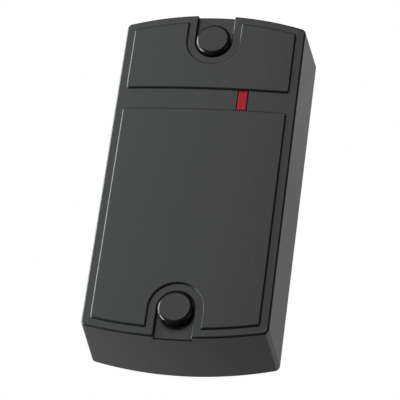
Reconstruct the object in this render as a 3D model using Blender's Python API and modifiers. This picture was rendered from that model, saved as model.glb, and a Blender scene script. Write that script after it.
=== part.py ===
# Wall-mounted proximity card reader: a drafted moulded shell with a crowned face, two screw caps,
# a red indicator window, a rear plate and the electronics between them.
# Everything is modelled lying on its back: X to the right, Y up the wall, Z out of the wall. One empty
# then stands the reader up, so that the wall face lies in the world's XZ plane through the origin and
# the face looks along -Y.

import math

import bmesh
import bpy
from mathutils import Matrix

READER = "card_reader"

# Shell, in metres.
WIDTH = 0.043            # at the wall face
HEIGHT = 0.085           # at the wall face, over the bulged ends
SIDE_DEPTH = 0.017       # wall face to the long edges of the border
CROWN = 0.001            # how much higher the border is on its centre line
END_BULGE = 0.0027       # rise of each curved end over its corners
SIDE_DRAFT = 0.0005      # how far each long side leans in over SIDE_DEPTH
END_DRAFT = 0.00105      # the same for each end
CORNER_RADIUS = 0.0013
WALL = 0.0022
RIM = 0.0010             # wall left around the rear plate
CEILING = 0.0152         # inside of the front wall
GAP = 0.0003             # clearance between neighbouring pieces
OVERRUN = 0.001          # how far a cutter reaches past the surface that it opens
EMBED = 0.0005           # how far joined shapes reach into each other
END_STEPS = 12           # facets along each curved end
CORNER_STEPS = 4
CROWN_STEPS = 20
TURN_MERGE = 0.00001     # turned profiles close on themselves within this distance

# Relief of the face.
BORDER = 0.0020          # flat margin around the raised panels
PANEL_RAISE = 0.00045
PANEL_CORNER = 0.0007
BAR_TOP = 0.0215         # bare bar between the two panels
BAR_BOTTOM = 0.0162
RIB_RADIUS = 0.0061      # panel edge around each screw notch
NOTCH_RADIUS = 0.00425
NOTCH_FLOOR = 0.0168
FACE_CLEAR = 0.0200      # a height above everything on the face

# Fixing screws and their caps.
SCREW_Y = 0.03445
BOSS_RADIUS = 0.0052
CAP_WELL_RADIUS = 0.0034
SCREW_SEAT = 0.0123
SCREW_HOLE_RADIUS = 0.00195
SCREW_SHANK_RADIUS = 0.00165
SCREW_HEAD_RADIUS = 0.0030
SCREW_HEAD_HEIGHT = 0.0022
SCREW_TIP = 0.0004       # the tip stops this far inside the wall face
CAP_RADIUS = 0.00395
CAP_TOP = 0.0190
CAP_ROUND = 0.0009
CAP_STEM_RADIUS = 0.0030
CAP_STEM_BORE = 0.0020
CAP_STEM_LENGTH = 0.0020
CAP_STEPS = 28
BOSS_STEPS = 28
SCREW_TIP_TAPER = 0.0016
SCREW_TIP_RADIUS = 0.0004
SCREW_DOME = ((0, 0), (0.0014, 0.0001), (0.0023, 0.0005), (0.0028, 0.0011), (SCREW_HEAD_RADIUS, 0.0018))
SCREW_RECESS = (0.0034, 0.0007, 0.0012)          # reach, width and depth of a cross recess

# Indicator window.
LENS_X = 0.00855
LENS_WIDTH = 0.0020
SLOT_WIDTH = LENS_WIDTH + 2 * GAP
SLOT_LENGTH = BAR_TOP - BAR_BOTTOM - 0.0001
LENS_LENGTH = SLOT_LENGTH - 2 * GAP
LENS_Y = (BAR_TOP + BAR_BOTTOM) / 2
LENS_TOP = 0.0178
LENS_BOTTOM = 0.0118
LENS_CORNER = 0.0002
FLANGE_REACH = 0.0008    # the lens flange, out from each side of the lens
FLANGE_THICKNESS = 0.0009
FLANGE_CORNER = 0.0004
SHROUD_REACH = (0.0017, 0.0015)
SHROUD_BORE_REACH = (0.0009, 0.0007)
SHROUD_CORNER = 0.0008
LED_SIZE = (0.0020, 0.0034)
LED_DOME = (0.0014, 0.0024)
LED_HEIGHT = 0.0008
LED_DOME_TOP = 0.0013

# Rear plate and what seals and holds it.
PLATE_THICKNESS = 0.0018
SEAT_DEPTH = 0.0030      # wall face to the ledge under the gasket
GASKET_THICKNESS = 0.0006
PLATE_SCREW_X = 0.0152
PLATE_SCREW_Y = 0.0315
PLATE_SCREW_SHANK = 0.0011
PLATE_SCREW_HEAD = 0.0022
PLATE_SCREW_LENGTH = 0.0085
PLATE_SCREW_SINK = 0.0011
PLATE_SCREW_TAPER = 0.0012
PLATE_SCREW_RECESS = (0.0024, 0.0006, 0.0007)
SMALL_SCREW_STEPS = 16
SMALL_TIP = 0.0003
SCREW_EDGE = 0.0001
COUNTERSINK_DEPTH = 0.0014
POST_RADIUS = 0.0026
CABLE_Y = 0.0120         # height of the cable exit over the centre
CABLE_BORE = 0.0031
GROMMET_NECK = 0.0042
GROMMET_FLANGE = 0.0060
GROMMET_LIP = 0.0009     # inner flange, which springs open behind the collar
GROMMET_TAPER = 0.0004
COLLAR_RADIUS = 0.0080
COLLAR_DEPTH = 0.0027
CABLE_WELL_DEPTH = 0.0012
LABEL_RECESS = (0.0200, 0.0190, 0.0015)          # width, height and corner radius
LABEL_Y = -0.0155

# Circuit board and coil.
BOARD_LOW = 0.0074
BOARD_THICKNESS = 0.0016
BOARD_WIDTH = 0.0350
BOARD_LENGTH = 0.0560
BOARD_SCREWS = ((-0.0105, 0.0200), (-0.0105, -0.0200), (0.0105, -0.0200))
BOARD_SCREW_NAMES = ("upper_left", "lower_left", "lower_right")
BOARD_SCREW_SHANK = 0.0009
BOARD_SCREW_HEAD = 0.0019
BOARD_SCREW_HEAD_HEIGHT = 0.0013
BOARD_SCREW_CHAMFER = (0.0006, 0.0005)
BOARD_SCREW_REACH = 0.0056                       # tip over the rear side of the board
BOARD_SCREW_TAPER = 0.0009
BOARD_SCREW_RECESS = (0.0020, 0.0005, 0.0006)
BOARD_PILOT_REACH = 0.0062
BOARD_CORNER = 0.0015
FORMER_HALF = (0.0174, 0.0274)
FORMER_WIDTH = 0.0032
FORMER_HEIGHT = 0.0048
FORMER_CORE = 0.0010
FORMER_FLANGE = 0.0008
FORMER_CORNER = 0.0045
RING_STEPS = 6

# Components: centre, then sizes across and along the board. Heights are off the board.
# A chip: centre, size, height, leads on each side, their pitch, and the number of leaded sides.
MICROCONTROLLER = ((-0.0060, -0.0060), (0.0070, 0.0070), 0.0014, 8, 0.0008, 4)
READER_CHIP = ((0.0085, -0.0085), (0.0086, 0.0039), 0.0016, 7, 0.00115, 2)
LEAD = (0.0003, 0.0011, 0.0006)                  # width, length and height of a chip's lead
LEAD_REACH = 0.0003
CHIP_LIFT = 0.0001
CHIP_CORNER = 0.0002
REGULATOR_AT = (-0.0115, 0.0105)
REGULATOR_SIZE = (0.0064, 0.0060)
REGULATOR_HEIGHT = 0.0023
REGULATOR_TAB = (0.0052, 0.0030)
REGULATOR_LEG = (0.0007, 0.0030)
REGULATOR_LEG_X = 0.0022
REGULATOR_LEG_Y = 0.0036
METAL_HEIGHTS = (0.0008, 0.0002)                 # far and near side of its tab and legs
CRYSTAL_AT = (0, -0.0150)
CRYSTAL_SIZE = (0.0105, 0.0042)
CRYSTAL_CORNER = 0.0020
CRYSTAL_HEIGHT = 0.0034
CRYSTAL_FLANGE = 0.00035
CRYSTAL_FLANGE_HEIGHTS = (0.0005, 0.0001)
FILTER_AT = (0.0115, 0.0085)
FILTER_BASE = 0.0053
FILTER_BASE_CORNER = 0.0008
FILTER_BASE_HEIGHT = 0.0008
FILTER_RADIUS = 0.0024
FILTER_HEIGHT = 0.0043
TUNING_AT = (0.0105, -0.0005)
TUNING_SIZE = (0.0072, 0.0026)
TUNING_HEIGHT = 0.0040
DIODE_AT = (-0.0125, 0.0005)
DIODE_SIZE = (0.0026, 0.0043)
DIODE_HEIGHT = 0.0021
DIODE_ENDS = (0.0014, 0.0052, 0.0009)
BODY_CORNER = 0.0003                             # small corner of the moulded bodies
CONNECTOR_AT = (0.0010, 0.0240)
CONNECTOR_WAYS = 8
CONNECTOR_PITCH = 0.0020
CONNECTOR_HEIGHT = 0.0042
CONNECTOR_DEPTH = 0.0050
CONNECTOR_SIDE = 0.0013
CONNECTOR_POCKET = (0.0005, 0.0036, 0.0009)      # room beside the pins, width, floor
CONNECTOR_PIN = 0.0006
CONNECTOR_PIN_ROOT = 0.0004
BUZZER_AT = (-0.0055, -0.0010)
BUZZER_RADIUS = 0.0055
BUZZER_HEIGHT = 0.0050
BUZZER_PORT = (0.0012, 0.0006)                   # radius and depth
BUZZER_ROUND = 0.0004

board_high = BOARD_LOW + BOARD_THICKNESS
part_base = BOARD_LOW - GAP      # components on the rear side of the board hang below this
front_base = board_high + GAP    # components on its front side stand on this


# Scene, collections and materials

def clear_scene():
    for old in list(bpy.data.objects):
        bpy.data.objects.remove(old)


def new_collection(name):
    made = bpy.data.collections.new(name)
    bpy.context.scene.collection.children.link(made)
    return made


def finish(name, colour, roughness, metallic=0.0):
    made = bpy.data.materials.new(name)
    made.use_nodes = True
    shader = made.node_tree.nodes["Principled BSDF"]
    shader.inputs["Base Color"].default_value = (*colour, 1.0)
    shader.inputs["Roughness"].default_value = roughness
    shader.inputs["Metallic"].default_value = metallic
    return made


def add_object(name, mesh, group, material=None):
    made = bpy.data.objects.new(name, mesh)
    group.objects.link(made)
    if material:
        mesh.materials.clear()
        mesh.materials.append(material)
    return made


def tool(name, mesh):
    made = add_object(name, mesh, cutters)
    made.hide_render = True
    made.display_type = "WIRE"
    return made


def boolean(target, other, operation):
    made = target.modifiers.new(other.name, "BOOLEAN")
    made.operation = operation
    made.solver = "EXACT"
    made.object = other


def cut(target, other):
    boolean(target, other, "DIFFERENCE")


def join(target, other):
    boolean(target, other, "UNION")


def keep_common(target, other):
    boolean(target, other, "INTERSECT")


def settle(target):
    # Turns an object's modifiers into its mesh, so that copies can share it.
    graph = bpy.context.evaluated_depsgraph_get()
    mesh = bpy.data.meshes.new_from_object(target.evaluated_get(graph))
    target.modifiers.clear()
    target.data = mesh
    return mesh


def shade(target, angle=35):
    target.data.shade_smooth()
    target.data.set_sharp_from_angle(angle=math.radians(angle))


# Outlines, as lists of (x, y) that run anticlockwise

def arc(x, y, radius, start, end, steps):
    turns = [start + (end - start) * i / steps for i in range(steps + 1)]
    return [(x + radius * math.cos(t), y + radius * math.sin(t)) for t in turns]


def half_turned(points):
    return [(-x, -y) for x, y in points]


def rectangle(width, height, x=0.0, y=0.0, corner=0.0, steps=3):
    a = width / 2
    b = height / 2
    if corner == 0:
        return [(x + a, y - b), (x + a, y + b), (x - a, y + b), (x - a, y - b)]
    points = []
    for i, (sx, sy) in enumerate(((1, 1), (-1, 1), (-1, -1), (1, -1))):
        start = i * math.pi / 2
        centre_x = x + sx * (a - corner)
        centre_y = y + sy * (b - corner)
        points += arc(centre_x, centre_y, corner, start, start + math.pi / 2, steps)
    return points


def bulged_end(half_width, tip, corner):
    # One curved end, from its right corner to its left one. Both corners are rounded.
    radius = ((WIDTH / 2) ** 2 + END_BULGE ** 2) / (2 * END_BULGE) - (WIDTH / 2 - half_width)
    centre = tip - radius
    across = half_width - corner
    corner_y = centre + math.sqrt((radius - corner) ** 2 - across ** 2)
    lean = math.atan2(corner_y - centre, across)
    right = arc(across, corner_y, corner, 0, lean, CORNER_STEPS)
    crest = arc(0, centre, radius, lean, math.pi - lean, END_STEPS)
    left = arc(-across, corner_y, corner, math.pi - lean, math.pi, CORNER_STEPS)
    return right + crest[1:-1] + left


def body_outline(inset):
    end = bulged_end(WIDTH / 2 - inset, HEIGHT / 2 - inset, max(CORNER_RADIUS - inset, GAP))
    return end + half_turned(end)


def panel_outline(bar_edge):
    # The upper panel, from the bar to the bulged end. Turned half round, it is the lower one.
    half_width = WIDTH / 2 - SIDE_DRAFT - BORDER
    across = half_width - PANEL_CORNER
    up = bar_edge + PANEL_CORNER
    end = bulged_end(half_width, HEIGHT / 2 - END_DRAFT - BORDER, PANEL_CORNER)
    left = arc(-across, up, PANEL_CORNER, math.pi, 1.5 * math.pi, CORNER_STEPS)
    right = arc(across, up, PANEL_CORNER, 1.5 * math.pi, 2 * math.pi, CORNER_STEPS)
    return end + left + right


def notch_outline(radius, steps=16):
    # A screw notch: round towards the centre and open past the end of the shell.
    reach = HEIGHT / 2 + 2 * OVERRUN
    return arc(0, SCREW_Y, radius, math.pi, 2 * math.pi, steps) + [(radius, reach), (-radius, reach)]


# Solids

def draft(height):
    # Scale of the shell's outline at a height over the wall face.
    share = height / SIDE_DEPTH
    return (1 - share * SIDE_DRAFT / (WIDTH / 2), 1 - share * END_DRAFT / (HEIGHT / 2))


def add_block(bm, outline, low, high, drafted=False):
    low_x, low_y = draft(low) if drafted else (1, 1)
    high_x, high_y = draft(high) if drafted else (1, 1)
    base = bm.faces.new([bm.verts.new((x * low_x, y * low_y, low)) for x, y in outline])
    raised = bmesh.ops.extrude_face_region(bm, geom=[base])["geom"]
    top = [v for v in raised if isinstance(v, bmesh.types.BMVert)]
    bmesh.ops.translate(bm, verts=top, vec=(0, 0, high - low))
    bmesh.ops.scale(bm, verts=top, vec=(high_x / low_x, high_y / low_y, 1))


def add_cylinder(bm, x, y, radius, low, high, top_radius=None, segments=20):
    place = Matrix.Translation((x, y, (low + high) / 2))
    wide = radius if top_radius is None else top_radius
    bmesh.ops.create_cone(
        bm, cap_ends=True, segments=segments, radius1=radius, radius2=wide, depth=high - low, matrix=place
    )


def mesh_of(name, bm):
    bmesh.ops.recalc_face_normals(bm, faces=bm.faces)
    mesh = bpy.data.meshes.new(name)
    bm.to_mesh(mesh)
    bm.free()
    return mesh


def blocks(name, outlines, low, high, drafted=False):
    bm = bmesh.new()
    for outline in outlines:
        add_block(bm, outline, low, high, drafted)
    return mesh_of(name, bm)


def cylinders(name, places, radius, low, high, top_radius=None, segments=20):
    bm = bmesh.new()
    for x, y in places:
        add_cylinder(bm, x, y, radius, low, high, top_radius, segments)
    return mesh_of(name, bm)


def turned(name, profile, group, material, steps=24):
    # A profile of (radius, height) from the top of the axis down its outer side, turned about Z.
    bm = bmesh.new()
    points = [bm.verts.new((radius, 0, height)) for radius, height in profile]
    for first, second in zip(points, points[1:]):
        bm.edges.new((first, second))
    mesh = bpy.data.meshes.new(name)
    bm.to_mesh(mesh)
    bm.free()
    made = add_object(name, mesh, group, material)
    screw = made.modifiers.new("turn", "SCREW")
    screw.steps = steps
    screw.render_steps = steps
    screw.use_merge_vertices = True
    screw.merge_threshold = TURN_MERGE
    settle(made)
    made.data.materials.clear()
    made.data.materials.append(material)
    return made


def crowned_space(name, lift):
    # Everything under the face, whose surface is an arc across the width.
    reach = WIDTH / 2 + OVERRUN
    radius = ((WIDTH / 2 - SIDE_DRAFT) ** 2 + CROWN ** 2) / (2 * CROWN)
    centre = SIDE_DEPTH + CROWN + lift - radius
    lean = math.asin(reach / radius)
    front = arc(0, centre, radius, math.pi / 2 - lean, math.pi / 2 + lean, CROWN_STEPS)
    section = front + [(-reach, -OVERRUN), (reach, -OVERRUN)]
    bm = bmesh.new()
    half = HEIGHT / 2 + OVERRUN
    base = bm.faces.new([bm.verts.new((x, half, z)) for x, z in section])
    raised = bmesh.ops.extrude_face_region(bm, geom=[base])["geom"]
    far = [v for v in raised if isinstance(v, bmesh.types.BMVert)]
    bmesh.ops.translate(bm, verts=far, vec=(0, -2 * half, 0))
    return mesh_of(name, bm)


# Shell

def make_housing():
    housing = add_object(
        "front_housing", blocks("front_housing", [body_outline(0)], 0, FACE_CLEAR, True), parts, shell_plastic
    )
    keep_common(housing, tool("under_border", crowned_space("under_border", 0)))
    under_panels = tool("under_panels", crowned_space("under_panels", PANEL_RAISE))
    rib = notch_outline(RIB_RADIUS)
    ribs = tool("ribs", blocks("ribs", [rib, half_turned(rib)], CEILING, FACE_CLEAR + OVERRUN))
    outlines = [panel_outline(BAR_TOP), half_turned(panel_outline(-BAR_BOTTOM))]
    panels = tool("raised_panels", blocks("raised_panels", outlines, CEILING + EMBED, FACE_CLEAR))
    keep_common(panels, under_panels)
    cut(panels, ribs)
    join(housing, panels)
    notch = notch_outline(NOTCH_RADIUS)
    cut(housing, tool("notches", blocks("notches", [notch, half_turned(notch)], NOTCH_FLOOR, FACE_CLEAR)))
    cut(housing, tool("cavity", blocks("cavity", [body_outline(WALL)], -OVERRUN, CEILING, True)))
    cut(housing, tool("plate_seat", blocks("plate_seat", [body_outline(RIM)], -OVERRUN, SEAT_DEPTH, True)))
    add_housing_posts(housing)
    slot = rectangle(SLOT_WIDTH, SLOT_LENGTH, LENS_X, LENS_Y)
    cut(housing, tool("window_slot", blocks("window_slot", [slot], CEILING - OVERRUN, FACE_CLEAR)))


def add_housing_posts(housing):
    root = CEILING + EMBED
    bosses = cylinders("bosses", screw_places, BOSS_RADIUS, 0, root, segments=BOSS_STEPS)
    join(housing, tool("bosses", bosses))
    plate_posts = cylinders("plate_posts", plate_screw_places, POST_RADIUS, PLATE_THICKNESS + GAP, root)
    join(housing, tool("plate_posts", plate_posts))
    board_posts = cylinders("board_posts", BOARD_SCREWS, POST_RADIUS, front_base, root)
    join(housing, tool("board_posts", board_posts))
    wells = cylinders("cap_wells", screw_places, CAP_WELL_RADIUS, SCREW_SEAT, FACE_CLEAR)
    cut(housing, tool("cap_wells", wells))
    through = SCREW_SEAT + OVERRUN
    holes = cylinders("screw_holes", screw_places, SCREW_HOLE_RADIUS, -OVERRUN, through, segments=24)
    cut(housing, tool("screw_holes", holes))
    depth = PLATE_SCREW_LENGTH + 2 * GAP
    pilots = cylinders("plate_pilots", plate_screw_places, PLATE_SCREW_SHANK + GAP, 0, depth, segments=16)
    cut(housing, tool("plate_pilots", pilots))
    top = BOARD_LOW + BOARD_PILOT_REACH
    pilots = cylinders("board_pilots", BOARD_SCREWS, BOARD_SCREW_SHANK + GAP, BOARD_LOW, top, segments=16)
    cut(housing, tool("board_pilots", pilots))


def make_rear_plate():
    outline = body_outline(RIM + GAP)
    plate = add_object(
        "rear_plate", blocks("rear_plate", [outline], 0, PLATE_THICKNESS, True), parts, plate_plastic
    )
    exit_place = [(0, CABLE_Y)]
    low = PLATE_THICKNESS / 2
    collar = cylinders("collar", exit_place, COLLAR_RADIUS, low, COLLAR_DEPTH, segments=BOSS_STEPS)
    join(plate, tool("collar", collar))
    wide = GROMMET_FLANGE + 2 * GAP
    well = cylinders("cable_well", exit_place, wide, -OVERRUN, CABLE_WELL_DEPTH, segments=BOSS_STEPS)
    cut(plate, tool("cable_well", well))
    hole = cylinders("cable_hole", exit_place, GROMMET_NECK + GAP, 0, COLLAR_DEPTH + OVERRUN)
    cut(plate, tool("cable_hole", hole))
    through = PLATE_THICKNESS + OVERRUN
    holes = cylinders("boss_holes", screw_places, BOSS_RADIUS + GAP, -OVERRUN, through, segments=BOSS_STEPS)
    cut(plate, tool("boss_holes", holes))
    radius = PLATE_SCREW_SHANK + GAP
    holes = cylinders("plate_screw_holes", plate_screw_places, radius, -OVERRUN, through)
    cut(plate, tool("plate_screw_holes", holes))
    wide = PLATE_SCREW_HEAD + 2 * GAP
    sink = cylinders("countersinks", plate_screw_places, wide, -GAP, COUNTERSINK_DEPTH, radius, 24)
    cut(plate, tool("countersinks", sink))
    width, height, corner = LABEL_RECESS
    recess = rectangle(width, height, 0, LABEL_Y, corner)
    cut(plate, tool("plate_recess", blocks("plate_recess", [recess], -OVERRUN, GAP)))


def make_gasket():
    low = PLATE_THICKNESS + GAP
    mesh = blocks("rear_gasket", [body_outline(RIM + GAP)], low, low + GASKET_THICKNESS, True)
    gasket = add_object("rear_gasket", mesh, parts, seal_rubber)
    inside = blocks("gasket_inside", [body_outline(WALL)], 0, SEAT_DEPTH + OVERRUN, True)
    cut(gasket, tool("gasket_inside", inside))


def make_grommet():
    bottom = GAP / 2
    lip = CABLE_WELL_DEPTH - GAP
    inner = COLLAR_DEPTH + GAP
    top = inner + GROMMET_LIP
    profile = [
        (CABLE_BORE, top), (GROMMET_FLANGE - 2 * GROMMET_TAPER, top), (GROMMET_FLANGE - GROMMET_TAPER, inner),
        (GROMMET_NECK, inner), (GROMMET_NECK, lip), (GROMMET_FLANGE, lip), (GROMMET_FLANGE, bottom + GAP),
        (GROMMET_FLANGE - GAP, bottom), (CABLE_BORE + GAP, bottom), (CABLE_BORE, bottom + GAP),
        (CABLE_BORE, top),
    ]
    grommet = turned("cable_grommet", profile, parts, seal_rubber)
    grommet.location = (0, CABLE_Y, 0)


# Fixings

def add_cross_recess(target, reach, width, low, high):
    for size in ((reach, width), (width, reach)):
        arm = tool("recess_arm", blocks("recess_arm", [rectangle(*size)], low, high))
        cut(target, arm)
        settle(target)
        bpy.data.objects.remove(arm)


def mounting_screw_profile():
    head = SCREW_SEAT + GAP
    top = head + SCREW_HEAD_HEIGHT
    dome = [(radius, top - sink) for radius, sink in SCREW_DOME]
    shank = [(SCREW_HEAD_RADIUS, head), (SCREW_SHANK_RADIUS, head)]
    tip = [(SCREW_SHANK_RADIUS, SCREW_TIP + SCREW_TIP_TAPER), (SCREW_TIP_RADIUS, SCREW_TIP), (0, SCREW_TIP)]
    return dome + shank + tip


def make_mounting_screws():
    first = turned("mounting_screw_top", mounting_screw_profile(), parts, screw_steel, 20)
    reach, width, depth = SCREW_RECESS
    top = SCREW_SEAT + GAP + SCREW_HEAD_HEIGHT
    add_cross_recess(first, reach, width, top - depth, top + OVERRUN)
    first.location = (*screw_places[0], 0)
    second = add_object("mounting_screw_bottom", first.data, parts)
    second.location = (*screw_places[1], 0)


def make_screw_caps():
    under = NOTCH_FLOOR + GAP
    stem_end = under - CAP_STEM_LENGTH
    edge = arc(CAP_RADIUS - CAP_ROUND, CAP_TOP - CAP_ROUND, CAP_ROUND, math.pi / 2, 0, 4)
    profile = [(0, CAP_TOP)] + edge + [
        (CAP_RADIUS, under), (CAP_STEM_RADIUS, under), (CAP_STEM_RADIUS, stem_end + GAP),
        (CAP_STEM_RADIUS - GAP, stem_end), (CAP_STEM_BORE, stem_end), (CAP_STEM_BORE, under + EMBED),
        (0, under + EMBED),
    ]
    first = turned("screw_cap_top", profile, parts, cap_plastic, CAP_STEPS)
    first.location = (*screw_places[0], 0)
    second = add_object("screw_cap_bottom", first.data, parts)
    second.location = (*screw_places[1], 0)


def make_plate_screws():
    low = GAP / 2
    taper = PLATE_SCREW_LENGTH - PLATE_SCREW_TAPER
    profile = [
        (0, PLATE_SCREW_LENGTH), (SMALL_TIP, PLATE_SCREW_LENGTH), (PLATE_SCREW_SHANK, taper),
        (PLATE_SCREW_SHANK, low + PLATE_SCREW_SINK), (PLATE_SCREW_HEAD, low + SCREW_EDGE),
        (PLATE_SCREW_HEAD, low), (0, low),
    ]
    first = turned("plate_screw_upper_right", profile, parts, screw_steel, SMALL_SCREW_STEPS)
    reach, width, depth = PLATE_SCREW_RECESS
    add_cross_recess(first, reach, width, low - OVERRUN, low + depth)
    first.location = (*plate_screw_places[0], 0)
    for name, place in zip(("upper_left", "lower_left", "lower_right"), plate_screw_places[1:]):
        copy = add_object("plate_screw_" + name, first.data, parts)
        copy.location = (*place, 0)


def make_board_screws():
    head_low = part_base - BOARD_SCREW_HEAD_HEIGHT
    tip = BOARD_LOW + BOARD_SCREW_REACH
    inwards, upwards = BOARD_SCREW_CHAMFER
    profile = [
        (0, tip), (SMALL_TIP, tip), (BOARD_SCREW_SHANK, tip - BOARD_SCREW_TAPER),
        (BOARD_SCREW_SHANK, part_base), (BOARD_SCREW_HEAD, part_base), (BOARD_SCREW_HEAD, head_low + upwards),
        (BOARD_SCREW_HEAD - inwards, head_low), (0, head_low),
    ]
    mesh = None
    for name, place in zip(BOARD_SCREW_NAMES, BOARD_SCREWS):
        if mesh:
            screw = add_object("board_screw_" + name, mesh, parts)
        else:
            screw = turned("board_screw_" + name, profile, parts, screw_steel, SMALL_SCREW_STEPS)
            reach, width, depth = BOARD_SCREW_RECESS
            add_cross_recess(screw, reach, width, head_low - OVERRUN, head_low + depth)
            mesh = screw.data
        screw.location = (*place, 0)


# Indicator

def make_lens():
    outline = rectangle(LENS_WIDTH, LENS_LENGTH, LENS_X, LENS_Y, LENS_CORNER, 2)
    guide = blocks("indicator_lens", [outline], LENS_BOTTOM, LENS_TOP)
    lens = add_object("indicator_lens", guide, parts, lens_red)
    wide = LENS_WIDTH + 2 * FLANGE_REACH
    flange = rectangle(wide, LENS_LENGTH + 2 * FLANGE_REACH, LENS_X, LENS_Y, FLANGE_CORNER, 2)
    high = CEILING - GAP
    join(lens, tool("lens_flange", blocks("lens_flange", [flange], high - FLANGE_THICKNESS, high)))


def make_led_shroud():
    out_x, out_y = SHROUD_REACH
    outline = rectangle(LENS_WIDTH + 2 * out_x, LENS_LENGTH + 2 * out_y, LENS_X, LENS_Y, SHROUD_CORNER)
    top = CEILING - FLANGE_THICKNESS - 2 * GAP
    shroud = add_object("led_shroud", blocks("led_shroud", [outline], front_base, top), parts, black_plastic)
    out_x, out_y = SHROUD_BORE_REACH
    bore = rectangle(LENS_WIDTH + 2 * out_x, LENS_LENGTH + 2 * out_y, LENS_X, LENS_Y, BODY_CORNER)
    cut(shroud, tool("shroud_bore", blocks("shroud_bore", [bore], board_high, CEILING)))


def make_status_led():
    outline = rectangle(*LED_SIZE, LENS_X, LENS_Y, LENS_CORNER)
    base = blocks("status_led", [outline], front_base, front_base + LED_HEIGHT)
    led = add_object("status_led", base, parts, led_white)
    dome = rectangle(*LED_DOME, LENS_X, LENS_Y, FLANGE_CORNER)
    dome = blocks("led_dome", [dome], front_base + LED_HEIGHT / 2, front_base + LED_DOME_TOP)
    join(led, tool("led_dome", dome))


# Board and coil

def make_circuit_board():
    outline = rectangle(BOARD_WIDTH, BOARD_LENGTH, corner=BOARD_CORNER)
    board = add_object(
        "circuit_board", blocks("circuit_board", [outline], BOARD_LOW, board_high), parts, board_green
    )
    radius = BOARD_SCREW_SHANK + GAP
    low = BOARD_LOW - OVERRUN
    holes = cylinders("board_holes", BOARD_SCREWS, radius, low, board_high + OVERRUN, segments=16)
    cut(board, tool("board_holes", holes))


def ring(name, half, width, corner, low, high):
    # A closed frame: half is its outer half size, and width runs inwards.
    outer = rectangle(2 * half[0], 2 * half[1], corner=corner, steps=RING_STEPS)
    made = blocks(name, [outer], low, high)
    inner = (2 * (half[0] - width), 2 * (half[1] - width))
    hole = rectangle(*inner, corner=max(corner - width, EMBED), steps=RING_STEPS)
    return made, blocks(name + "_inside", [hole], low - OVERRUN, high + OVERRUN)


def make_coil():
    top = front_base + FORMER_HEIGHT
    mesh, hole = ring("coil_former", FORMER_HALF, FORMER_WIDTH, FORMER_CORNER, front_base, top)
    former = add_object("coil_former", mesh, parts, former_plastic)
    cut(former, tool("former_inside", hole))
    core = FORMER_WIDTH - FORMER_CORE
    wide = (FORMER_HALF[0] + OVERRUN, FORMER_HALF[1] + OVERRUN)
    low = front_base + FORMER_FLANGE
    high = top - FORMER_FLANGE
    mesh, hole = ring("winding_space", wide, core + OVERRUN, FORMER_CORNER + OVERRUN, low, high)
    space = tool("winding_space", mesh)
    cut(space, tool("winding_core", hole))
    cut(former, space)
    half = (FORMER_HALF[0] - GAP / 2, FORMER_HALF[1] - GAP / 2)
    mesh, hole = ring("antenna_coil", half, core - GAP * 1.5, FORMER_CORNER - GAP / 2, low + GAP, high - GAP)
    coil = add_object("antenna_coil", mesh, parts, copper)
    cut(coil, tool("coil_inside", hole))


# Components. Those on the rear side of the board hang from part_base. The buzzer stands on front_base.

def leaded_chip(name, place, size, height, leads, pitch, sides):
    # A moulded chip body whose leads stand out of two or four sides.
    x, y = place
    outline = rectangle(*size, x, y, CHIP_CORNER, 1)
    body = blocks(name, [outline], part_base - height, part_base - CHIP_LIFT)
    chip = add_object(name, body, parts, chip_epoxy)
    width, length, rise = LEAD
    outlines = []
    for side in range(sides):
        across = sides == 4 and side % 2 == 1
        sign = 1 if side < sides / 2 else -1
        out = sign * ((size[0] if across else size[1]) / 2 + LEAD_REACH)
        for i in range(leads):
            shift = (i - (leads - 1) / 2) * pitch
            if across:
                outlines.append(rectangle(length, width, x + out, y + shift))
            else:
                outlines.append(rectangle(width, length, x + shift, y + out))
    join(chip, tool(name + "_leads", blocks(name + "_leads", outlines, part_base - rise, part_base)))


def make_regulator():
    x, y = REGULATOR_AT
    outline = rectangle(*REGULATOR_SIZE, x, y, BODY_CORNER, 1)
    body = blocks("voltage_regulator", [outline], part_base - REGULATOR_HEIGHT, part_base)
    regulator = add_object("voltage_regulator", body, parts, chip_epoxy)
    far, near = METAL_HEIGHTS
    metal = [rectangle(*REGULATOR_TAB, x, y + REGULATOR_LEG_Y)]
    metal += [rectangle(*REGULATOR_LEG, x + side * REGULATOR_LEG_X, y - REGULATOR_LEG_Y) for side in (-1, 1)]
    tab_and_legs = blocks("regulator_metal", metal, part_base - far, part_base - near)
    join(regulator, tool("regulator_metal", tab_and_legs))


def make_crystal():
    outline = rectangle(*CRYSTAL_SIZE, *CRYSTAL_AT, CRYSTAL_CORNER, 4)
    can = blocks("crystal", [outline], part_base - CRYSTAL_HEIGHT, part_base)
    crystal = add_object("crystal", can, parts, can_steel)
    size = (CRYSTAL_SIZE[0] + 2 * CRYSTAL_FLANGE, CRYSTAL_SIZE[1] + 2 * CRYSTAL_FLANGE)
    flange = rectangle(*size, *CRYSTAL_AT, CRYSTAL_CORNER + CRYSTAL_FLANGE, 4)
    far, near = CRYSTAL_FLANGE_HEIGHTS
    skirt = blocks("crystal_flange", [flange], part_base - far, part_base - near)
    join(crystal, tool("crystal_flange", skirt))


def make_filter_capacitor():
    outline = rectangle(FILTER_BASE, FILTER_BASE, *FILTER_AT, FILTER_BASE_CORNER, 1)
    base = blocks("filter_capacitor", [outline], part_base - FILTER_BASE_HEIGHT, part_base)
    capacitor = add_object("filter_capacitor", base, parts, can_aluminium)
    low = part_base - FILTER_HEIGHT
    can = cylinders("filter_can", [FILTER_AT], FILTER_RADIUS, low, part_base - FILTER_BASE_HEIGHT / 2)
    join(capacitor, tool("filter_can", can))


def make_tuning_capacitor():
    outline = rectangle(*TUNING_SIZE, *TUNING_AT, BODY_CORNER, 1)
    mesh = blocks("tuning_capacitor", [outline], part_base - TUNING_HEIGHT, part_base)
    add_object("tuning_capacitor", mesh, parts, film_red)


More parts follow.
